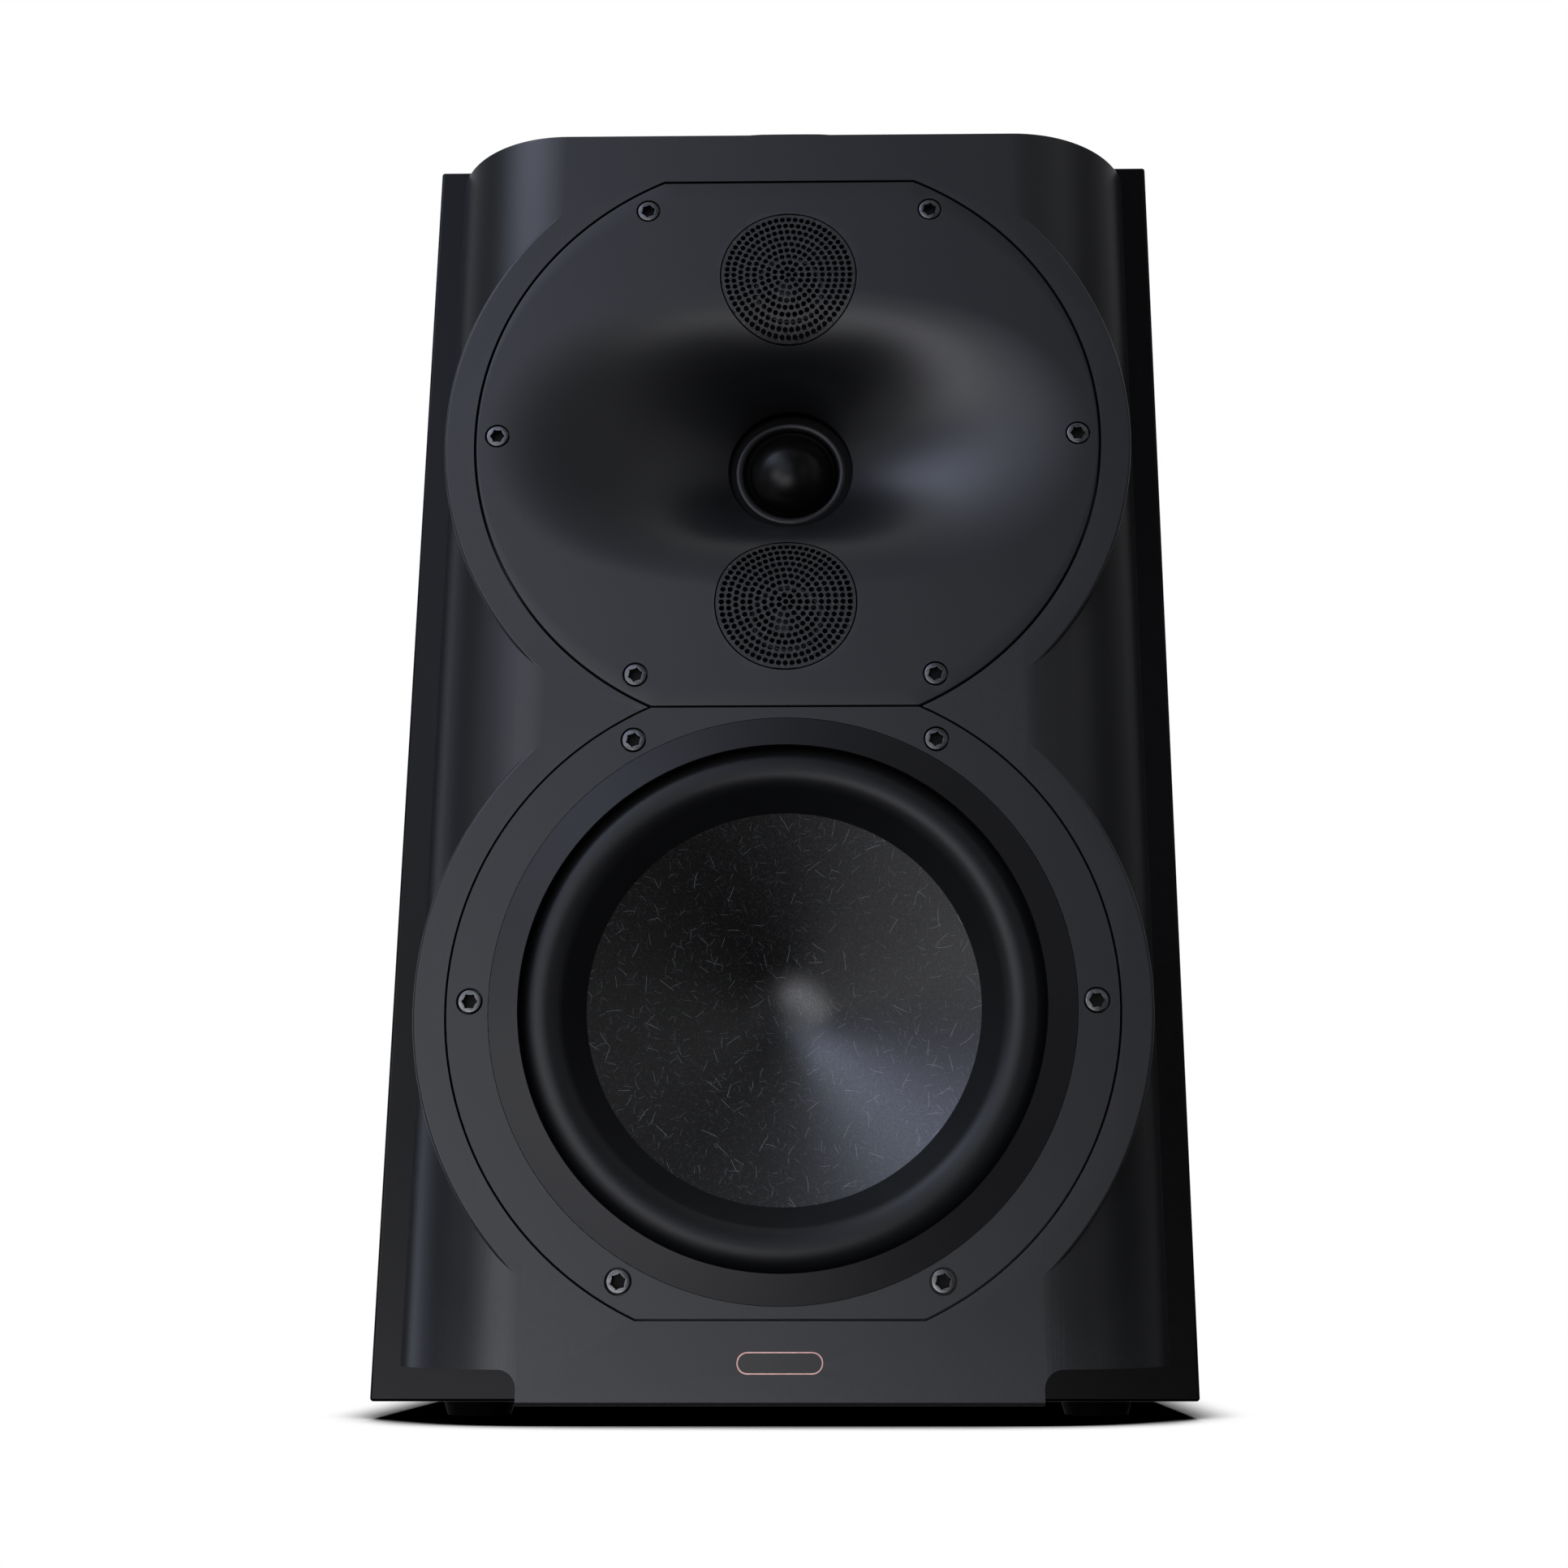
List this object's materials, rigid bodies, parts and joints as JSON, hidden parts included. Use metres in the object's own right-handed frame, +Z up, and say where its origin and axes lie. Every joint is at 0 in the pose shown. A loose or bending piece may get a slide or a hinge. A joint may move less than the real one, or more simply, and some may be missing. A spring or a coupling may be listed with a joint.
{
  "type": "bookshelf speaker",
  "caption": "Sealed bookshelf speaker with a wide waveguide, three dome tweeters, a long-throw woofer, a curved front baffle and screw-cap rear terminals.",
  "frame": {"origin": "on the floor, under the centre of the speaker's overall box", "axes": "+Z up, +X to the viewer's right, the drivers face -Y"},
  "size_m": [0.24, 0.3292, 0.406],
  "materials": {
    "gloss_lacquer": "high-gloss black lacquer on MDF",
    "satin_baffle": "satin black paint with a fine grain",
    "bare_mdf": "bare MDF",
    "lining_felt": "grey polyester felt",
    "foot_rubber": "matte black rubber",
    "waveguide_satin": "satin black, fine grain",
    "frame_satin": "cast aluminium in satin black",
    "trim_satin": "satin black moulding",
    "gasket_foam": "closed-cell foam",
    "dark_screw": "satin dark steel",
    "grille_steel": "satin black perforated steel",
    "dome_metal": "dark satin anodised",
    "roll_fabric": "coated cloth",
    "surround_rubber": "satin black butyl rubber",
    "cone_pulp": "black pressed pulp with light fibres",
    "spider_cloth": "resin-dipped cloth",
    "former_aluminium": "thin aluminium",
    "copper_winding": "enamelled copper wire",
    "motor_steel": "zinc-plated steel",
    "ferrite": "sintered ferrite",
    "tag_board": "phenolic board with tinned tabs",
    "circuit_board": "glass-epoxy board",
    "standoff_nylon": "nylon",
    "capacitor_sleeve": "wrapped film",
    "resistor_ceramic": "cement",
    "lead_sleeve": "PVC-sleeved wire",
    "tinsel": "braided copper",
    "terminal_moulding": "satin black moulding",
    "gold_plate": "gold-plated brass",
    "red_cap_plastic": "red plastic",
    "black_cap_plastic": "black plastic",
    "badge_bronze": "blank rose-bronze inlay"
  },
  "bodies": {
    "cabinet": {"side_panel_left": "gloss_lacquer", "side_panel_right": "gloss_lacquer", "top_panel": "gloss_lacquer", "bottom_panel": "gloss_lacquer", "rear_panel": "gloss_lacquer", "front_panel": "bare_mdf", "window_brace": "bare_mdf", "damping_lining": "lining_felt", "rubber_feet": "foot_rubber", "front_baffle": "satin_baffle", "badge": "badge_bronze", "baffle_bolts": "motor_steel", "waveguide_plate": "waveguide_satin", "waveguide_gasket": "gasket_foam", "woofer_gasket": "gasket_foam", "waveguide_screws": "dark_screw", "woofer_screws": "dark_screw", "upper_grille": "grille_steel", "lower_grille": "grille_steel", "main_dome_roll": "roll_fabric", "upper_dome_roll": "roll_fabric", "lower_dome_roll": "roll_fabric", "main_tweeter_housing": "trim_satin", "small_tweeter_housings": "trim_satin", "main_motor_cup": "motor_steel", "small_motor_cups": "motor_steel", "main_tweeter_magnet": "motor_steel", "small_tweeter_magnets": "motor_steel", "woofer_frame": "frame_satin", "woofer_trim_ring": "trim_satin", "woofer_surround": "surround_rubber", "spider": "spider_cloth", "top_plate": "motor_steel", "woofer_magnet": "ferrite", "yoke": "motor_steel", "woofer_terminals": "tag_board", "tinsel_leads": "tinsel", "crossover_board": "circuit_board", "board_standoffs": "standoff_nylon", "crossover_inductors": "copper_winding", "crossover_capacitors": "capacitor_sleeve", "crossover_resistors": "resistor_ceramic", "input_leads": "lead_sleeve", "woofer_leads": "lead_sleeve", "tweeter_leads": "lead_sleeve", "terminal_plate": "terminal_moulding", "terminal_screws": "dark_screw", "binding_posts": "gold_plate", "post_nuts": "gold_plate"},
    "woofer_cone": {"woofer_cone": "cone_pulp", "coil_former": "former_aluminium", "voice_coil": "copper_winding"},
    "main_dome": {"main_dome": "dome_metal"},
    "upper_dome": {"upper_dome": "dome_metal"},
    "lower_dome": {"lower_dome": "dome_metal"},
    "red_washer": {"red_washer": "gold_plate"},
    "red_cap": {"red_cap": "red_cap_plastic"},
    "black_washer": {"black_washer": "gold_plate"},
    "black_cap": {"black_cap": "black_cap_plastic"}
  },
  "joints": [
    {"name": "woofer_cone_stroke", "type": "slide", "parent": "cabinet", "child": "woofer_cone", "axis": [0, 1, 0], "range_m": [-0.006, 0.006], "stiffness_N_per_m": 1000, "deforming": ["woofer_surround", "spider", "tinsel_leads"]},
    {"name": "main_dome_stroke", "type": "slide", "parent": "cabinet", "child": "main_dome", "axis": [0, 1, 0], "range_m": [-0.0005, 0.0005], "stiffness_N_per_m": 2000, "deforming": ["main_dome_roll"]},
    {"name": "upper_dome_stroke", "type": "slide", "parent": "cabinet", "child": "upper_dome", "axis": [0, 0.9934, 0.1149], "range_m": [-0.0003, 0.0003], "stiffness_N_per_m": 2000, "deforming": ["upper_dome_roll"]},
    {"name": "lower_dome_stroke", "type": "slide", "parent": "cabinet", "child": "lower_dome", "axis": [0, 0.9934, -0.1149], "range_m": [-0.0003, 0.0003], "stiffness_N_per_m": 2000, "deforming": ["lower_dome_roll"]},
    {"name": "red_washer_slide", "type": "slide", "parent": "cabinet", "child": "red_washer", "axis": [0, 1, 0], "range_m": [0, 0.005]},
    {"name": "red_cap_turn", "type": "hinge", "parent": "red_washer", "child": "red_cap", "pos_m": [0.02, 0.14288, 0.155], "axis": [0, 1, 0], "range_deg": [0, 1800]},
    {"name": "black_washer_slide", "type": "slide", "parent": "cabinet", "child": "black_washer", "axis": [0, 1, 0], "range_m": [0, 0.005]},
    {"name": "black_cap_turn", "type": "hinge", "parent": "black_washer", "child": "black_cap", "pos_m": [-0.02, 0.14288, 0.155], "axis": [0, 1, 0], "range_deg": [0, 1800]}
  ],
  "couplings": [
    {"joint": "red_cap_turn", "follows": "red_washer_slide", "rad_per_m": 6283.2},
    {"joint": "black_cap_turn", "follows": "black_washer_slide", "rad_per_m": 6283.2}
  ]
}
